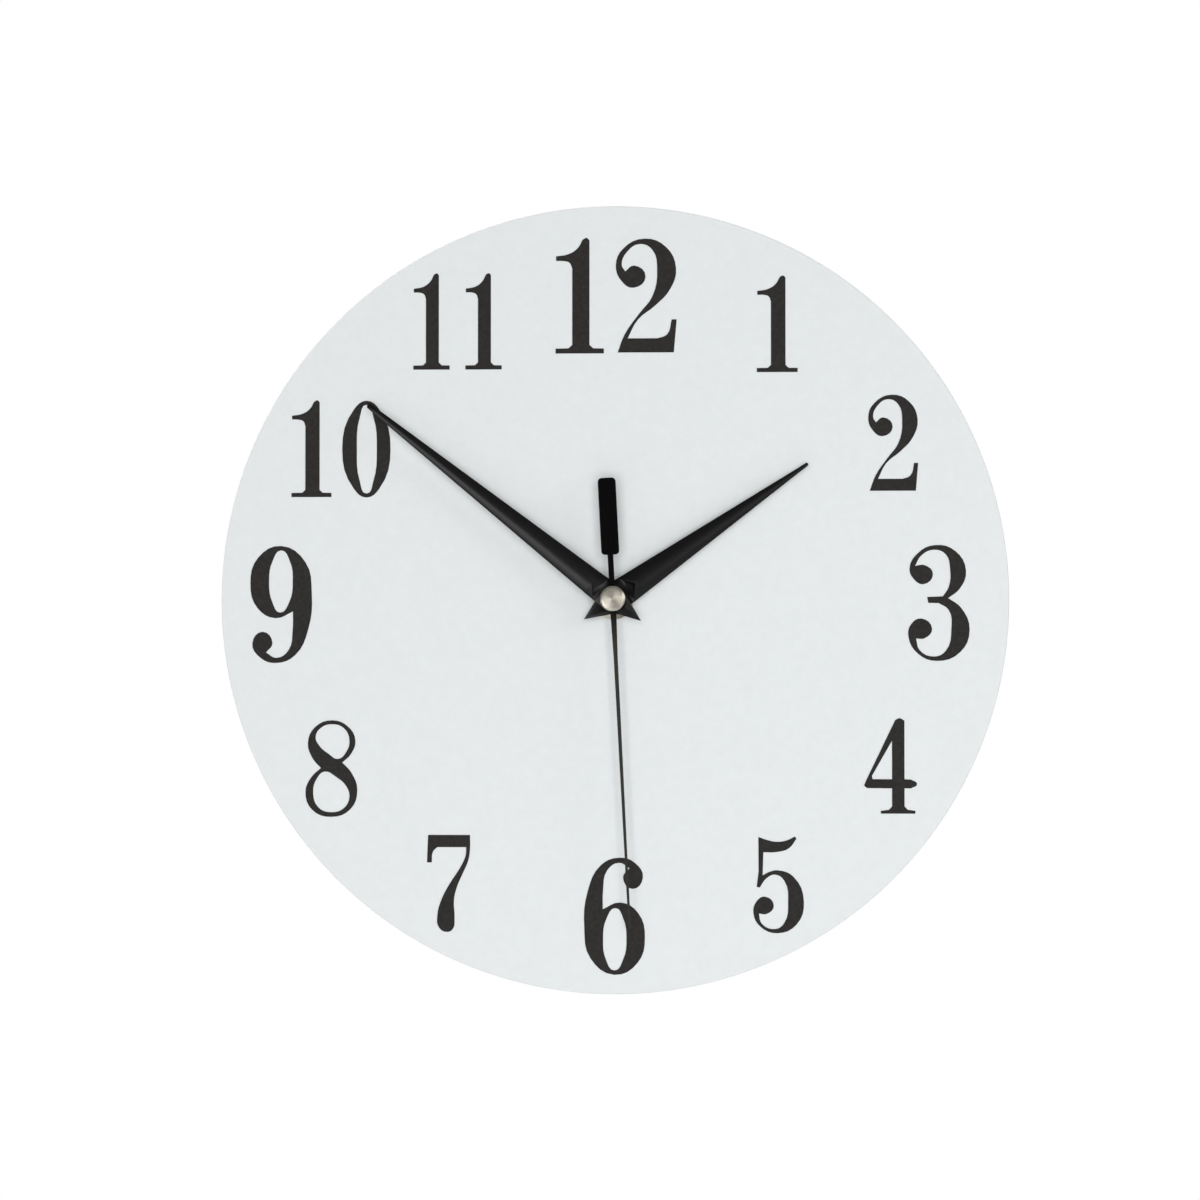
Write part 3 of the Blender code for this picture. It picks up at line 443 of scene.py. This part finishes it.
# ---------------------------------------------------------------------------------------------
# The motor: blanked silicon steel for the stator and the core, a sintered ferrite ring on the
# brass rotor arbor, and a coil of enamelled wire.

steel, tree, shader, place = finish("blanked_silicon_steel", 0.38, 1.0)
# Rolling marks run along the strip, each some 0.1 mm wide and many times as long.
strip = add(tree, "Mapping", {"Vector": place, "Scale": (0.04, 1.0, 1.0)})
rolled = add(tree, "TexNoise", {"Vector": strip.outputs["Vector"], "Scale": 9000.0, "Detail": 3.0})
tone = add(tree, "ValToRGB", {"Fac": rolled.outputs["Fac"]}, ((0.3, "#8A8C90"), (0.7, "#A2A4A8")))
tree.links.new(tone.outputs["Color"], shader.inputs["Base Color"])
relief = add(tree, "Bump", {"Height": rolled.outputs["Fac"], "Distance": 0.000006})
tree.links.new(relief.outputs["Normal"], shader.inputs["Normal"])
dress(steel, "stator", "coil_core")

ferrite, tree, shader, place = finish("sintered_ferrite", 0.62)
grit = add(tree, "TexVoronoi", {"Vector": place, "Scale": 4000.0})
tone = add(
    tree, "ValToRGB", {"Fac": grit.outputs["Distance"]}, ((0.1, "#2A2929"), (0.8, "#403E3E"))
)
tree.links.new(tone.outputs["Color"], shader.inputs["Base Color"])
relief = add(tree, "Bump", {"Height": grit.outputs["Distance"], "Distance": 0.00003})
tree.links.new(relief.outputs["Normal"], shader.inputs["Normal"])
dress(ferrite, "rotor_magnet")
dress(brass, "rotor", "second_hand_collet")

copper, tree, shader, place = finish("enamelled_copper_wire", 0.3, 1.0, Coat_Weight=0.5)
# The wire is 0.05 mm thick, and its turns are drawn 0.2 mm apart to show.
wire = add(
    tree, "TexWave", {"Vector": place, "Scale": WAVE_LENGTH / 0.0002, "Distortion": 0.5},
    wave_type="BANDS", bands_direction="X",
)
# The colour runs dark in the groove between turns and light on each turn's crown: painted shade
# and painted highlight over one copper colour.
tone = add(tree, "ValToRGB", {"Fac": wire.outputs["Fac"]}, ((0.1, "#6E3418"), (0.7, "#B4683C")))
tree.links.new(tone.outputs["Color"], shader.inputs["Base Color"])
relief = add(tree, "Bump", {"Height": wire.outputs["Fac"], "Distance": 0.00005})
tree.links.new(relief.outputs["Normal"], shader.inputs["Normal"])
dress(copper, "coil_winding")

# ---------------------------------------------------------------------------------------------
# The electronics: a strip of glass-cloth laminate with green solder resist over its tracks, a
# chip under a drop of black resin, and a quartz crystal in a plated can.

laminate, tree, shader, place = finish("green_resist_on_laminate", 0.4, Coat_Weight=0.3)
# Tracks are the joints of a brick pattern laid on the board's plane, 0.3 mm wide.
flat = add(tree, "Mapping", {"Vector": place, "Rotation": (math.pi / 2, 0.0, 0.0)})
tracks = add(
    tree, "TexBrick",
    {
        "Vector": flat.outputs["Vector"], "Color1": tint("#17553A"), "Color2": tint("#1A5C3F"),
        "Mortar": tint("#2F8058"), "Scale": 1.0, "Mortar Size": 0.00015, "Mortar Smooth": 0.2,
        "Brick Width": 0.0042, "Row Height": 0.0013,
    },
)
tree.links.new(tracks.outputs["Color"], shader.inputs["Base Color"])
relief = add(tree, "Bump", {"Height": tracks.outputs["Fac"], "Distance": 0.00003})
tree.links.new(relief.outputs["Normal"], shader.inputs["Normal"])
dress(laminate, "circuit_board")

resin, tree, shader, place = finish("poured_black_resin", 0.28)
skin = add(tree, "TexNoise", {"Vector": place, "Scale": 500.0, "Detail": 2.0})
tone = add(tree, "ValToRGB", {"Fac": skin.outputs["Fac"]}, ((0.3, "#0D0D0E"), (0.7, "#18181A")))
tree.links.new(tone.outputs["Color"], shader.inputs["Base Color"])
relief = add(tree, "Bump", {"Height": skin.outputs["Fac"], "Distance": 0.0001, "Strength": 0.6})
tree.links.new(relief.outputs["Normal"], shader.inputs["Normal"])
dress(resin, "chip_cover")
dress(nickel, "quartz_crystal", "negative_contact", "positive_contact")

# ---------------------------------------------------------------------------------------------
# The battery: an AA cell, a drawn steel can with a plain shrink sleeve rolled over its ends.
# Its button and its base are left bare for the two springs.

BATTERY_BACK_X, BATTERY_DEPTH, BATTERY_Z = -25.25, 7.75, -19.3


def laid_in_bay(mesh):
    """Lays a piece that was turned about the hands' axis along the battery bay."""
    bmesh.ops.rotate(mesh, verts=mesh.verts, matrix=Matrix.Rotation(math.radians(90), 3, "Z"))
    bmesh.ops.translate(mesh, verts=mesh.verts, vec=(BATTERY_BACK_X, -BATTERY_DEPTH, BATTERY_Z))
    return mesh


sleeve, tree, shader, place = finish("plain_shrink_sleeve", 0.28, Coat_Weight=0.4)
# A pale band lies at the button end, as on any cell, and the rest is one slate blue.
axes = add(tree, "SeparateXYZ", {"Vector": place})
along = add(
    tree, "MapRange",
    {"Value": axes.outputs["X"], "From Min": -0.025, "From Max": 0.025},
)
bands = add(
    tree, "ValToRGB", {"Fac": along.outputs["Result"]}, ((0.74, "#33475A"), (0.76, "#C9CCCB"))
)
scuffs = add(tree, "TexNoise", {"Vector": place, "Scale": 260.0, "Detail": 8.0, "Roughness": 0.7})
sheen = add(tree, "MapRange", {"Value": scuffs.outputs["Fac"], "To Min": 0.2, "To Max": 0.42})
tree.links.new(bands.outputs["Color"], shader.inputs["Base Color"])
tree.links.new(sheen.outputs["Result"], shader.inputs["Roughness"])
relief = add(tree, "Bump", {"Height": scuffs.outputs["Fac"], "Distance": 0.00003, "Strength": 0.5})
tree.links.new(relief.outputs["Normal"], shader.inputs["Normal"])
# Both sections run from the cell's base towards its button.
section = [
    (6.0, 0.05), (6.7, 0.0), (7.1, 0.15), (7.25, 0.5), (7.25, 48.7), (7.1, 49.05), (6.7, 49.2),
    (5.4, 49.15), (5.4, 48.95), (6.6, 48.9), (6.6, 0.4), (6.0, 0.4),
]
shown(
    "cell_sleeve", laid_in_bay(turned(section, steps=64)), sleeve, "battery",
    "battery",
)
section = [
    (0.0, 0.25), (4.6, 0.25), (5.2, 0.12), (6.3, 0.3), (6.55, 0.5), (6.55, 48.85), (5.2, 49.0),
    (3.4, 49.0), (2.9, 49.25), (2.7, 50.2), (2.4, 50.5), (0.0, 50.5),
]
shown("cell_can", laid_in_bay(turned(section, steps=48)), nickel, "battery")

# ---------------------------------------------------------------------------------------------
# The hour and minute hands: 0.4 mm sheet, blanked, folded to a low roof and sprayed satin black.
# A black collar is riveted to each hub, and grips its tube.

lacquer, tree, shader, place = finish("satin_black_lacquer", 0.3, Specular_IOR_Level=0.35)
peel = add(tree, "TexNoise", {"Vector": place, "Scale": 800.0, "Detail": 3.0})
tone = add(tree, "ValToRGB", {"Fac": peel.outputs["Fac"]}, ((0.3, "#060606"), (0.75, "#0C0C0B")))
tree.links.new(tone.outputs["Color"], shader.inputs["Base Color"])
relief = add(tree, "Bump", {"Height": peel.outputs["Fac"], "Distance": 0.000012, "Strength": 0.6})
tree.links.new(relief.outputs["Normal"], shader.inputs["Normal"])

FOLD_STEPS = 24
for hand, body, tube_radius, collar_radius, back, front in (
    ("hour_hand", "hour_arbor", 2.6, 3.5, 27.15, 27.8),
    ("minute_hand", "minute_arbor", 1.75, 2.8, 29.35, 29.95),
):
    blade = softened(hand, 0.0)
    # Cut into short lengths, so that the soft bend of the fold is shaded evenly along the hand.
    tip = max((vert.co for vert in blade.verts), key=lambda point: point.length).copy()
    along = Vector((tip.x, 0.0, tip.z)).normalized()
    for step in range(FOLD_STEPS):
        geometry = [*blade.verts, *blade.edges, *blade.faces]
        cut = along * tip.length * (step + 1) / (FOLD_STEPS + 1)
        bmesh.ops.bisect_plane(blade, geom=geometry, plane_co=cut, plane_no=along, dist=0.001)
    rounded_edges(blade, 0.07, segments=2, least=60)
    # Plain normals, so that the shading bends over the blanked edges as it does over the fold.
    shown(hand + "_blade", blade, lacquer, body, hand).modifiers.clear()
    collar = turned(
        ring(tube_radius, collar_radius, back, front), steps=48, rounding=0.12, segments=2
    )
    shown(hand + "_collar", collar, lacquer, body)

# ---------------------------------------------------------------------------------------------
# The second hand: a flat blade blanked from thinner sheet, in a deader black than the other two.
# Its narrow arm is painted greyer than the bar, a painted lightening over the same black paint. It
# turns under a turned nickel cap.

dead_black, tree, shader, place = finish("dead_flat_black_paint", 0.55, Specular_IOR_Level=0.03)
powder = add(tree, "TexNoise", {"Vector": place, "Scale": 1400.0, "Detail": 4.0})
# The bar's black, and the grey painted on the arm as painted light.
bar_black = add(tree, "ValToRGB", {"Fac": powder.outputs["Fac"]}, ((0.3, "#060606"), (0.75, "#0B0B0B")))
arm_painted_light = add(tree, "ValToRGB", {"Fac": powder.outputs["Fac"]}, ((0.3, "#32312E"), (0.75, "#3B3A37")))
# The painted lightening grows from 3 mm to 14 mm below the axis, along the arm.
axes = add(tree, "SeparateXYZ", {"Vector": place})
arm = add(
    tree, "MapRange", {"Value": axes.outputs["Z"], "From Min": -0.003, "From Max": -0.014}
)
tone = add(
    tree, "MixRGB",
    {
        "Fac": arm.outputs["Result"], "Color1": bar_black.outputs["Color"],
        "Color2": arm_painted_light.outputs["Color"],
    },
)
tree.links.new(tone.outputs["Color"], shader.inputs["Base Color"])
relief = add(tree, "Bump", {"Height": powder.outputs["Fac"], "Distance": 0.00001, "Strength": 0.6})
tree.links.new(relief.outputs["Normal"], shader.inputs["Normal"])
shown(
    "second_hand_blade", softened("second_hand", 0.05), dead_black, "second_arbor",
    "second_hand",
)
section = [
    (0.0, 31.8), (3.75, 31.8), (3.98, 31.95), (4.0, 32.3), (3.9, 32.6), (3.6, 32.8),
    (3.0, 32.87), (1.6, 32.93), (0.0, 32.95),
]
shown(
    "cap_turned", turned(section, steps=96), nickel, "second_arbor",
    "second_hand_cap",
)

# ---------------------------------------------------------------------------------------------
# The studio: a small pale floor well below the clock, a white surround and soft lights. A broad
# front light carries the dial with hardly a shadow, and one from the right gives the hub its
# faint one. Cards out of view give the folded hands and the metal something to mirror.

floor_paint, tree, shader, place = finish("pale_studio_floor", 0.7)
grain = add(tree, "TexNoise", {"Vector": place, "Scale": 220.0, "Detail": 5.0})
tone = add(tree, "ValToRGB", {"Fac": grain.outputs["Fac"]}, ((0.3, "#EFEFEE"), (0.7, "#F2F2F1")))
tree.links.new(tone.outputs["Color"], shader.inputs["Base Color"])
FLOOR_REACH, FLOOR_DROP = 0.9, 0.42
mesh = bmesh.new()
bmesh.ops.create_grid(mesh, x_segments=1, y_segments=1, size=FLOOR_REACH)
bmesh.ops.translate(mesh, verts=mesh.verts, vec=(0.0, 0.0, -FLOOR_DROP))
data = bpy.data.meshes.new("floor")
mesh.to_mesh(data)
mesh.free()
data.materials.append(floor_paint)
floor = bpy.data.objects.new("floor", data)
bpy.context.collection.objects.link(floor)


def softbox(name, place, size, power, matt=True, glossy=True):
    """A square area light that faces the dial, seen by matt surfaces, glossy ones or both."""
    lamp = bpy.data.lights.new(name, "AREA")
    lamp.size, lamp.energy = size, power
    light = bpy.data.objects.new(name, lamp)
    light.location = place
    light.rotation_euler = (-Vector(place)).to_track_quat("-Z", "Y").to_euler()
    light.visible_diffuse, light.visible_glossy = matt, glossy
    bpy.context.collection.objects.link(light)


softbox("front_light", (0.06, -1.9, -0.04), 1.2, 26.0, glossy=False)
softbox("right_light", (1.65, -0.95, 0.5), 0.9, 7.0)
softbox("rear_light", (-0.9, 1.6, 0.9), 1.2, 34.0)
softbox("low_left_card", (-0.62, -1.48, -0.6), 0.9, 6.2, matt=False)
softbox("left_card", (-0.62, -1.8, -0.15), 0.45, 1.4, matt=False)
softbox("right_card", (0.66, -1.6, 0.0), 0.6, 3.2, matt=False)

world = bpy.data.worlds.new("white_surround")
bpy.context.scene.world = world
world.use_nodes = True
tree = world.node_tree
tree.nodes.clear()
path = add(tree, "LightPath")
# The surround is white to the eye, but lights the clock only dimly.
SURROUND_LIGHT = 0.17
level = add(
    tree, "MapRange", {"Value": path.outputs["Is Camera Ray"], "To Min": SURROUND_LIGHT}
)
glow = add(tree, "Background", {"Color": tint("#FFFFFF"), "Strength": level.outputs["Result"]})
add(tree, "OutputWorld", {"Surface": glow.outputs["Background"]})

# ---------------------------------------------------------------------------------------------
# The camera: a long lens 1.5 m away, 2.6 degrees to the right of the dial's axis and 1.5 degrees
# below it, with the dial a little right of the middle.

DISTANCE, SEEN_WIDTH = 1.5, 0.3804
aim = Vector((-0.0044, -0.0226, -0.0002))
right, down = math.radians(2.6), math.radians(1.5)
camera = bpy.data.objects.new("camera", bpy.data.cameras.new("camera"))
camera.location = aim + DISTANCE * Vector((math.sin(right), -math.cos(right), -math.sin(down)))
camera.rotation_euler = (aim - camera.location).to_track_quat("-Z", "Y").to_euler()
camera.data.lens = camera.data.sensor_width * DISTANCE / SEEN_WIDTH
bpy.context.collection.objects.link(camera)
bpy.context.scene.camera = camera
bpy.context.scene.view_settings.view_transform = "Standard"
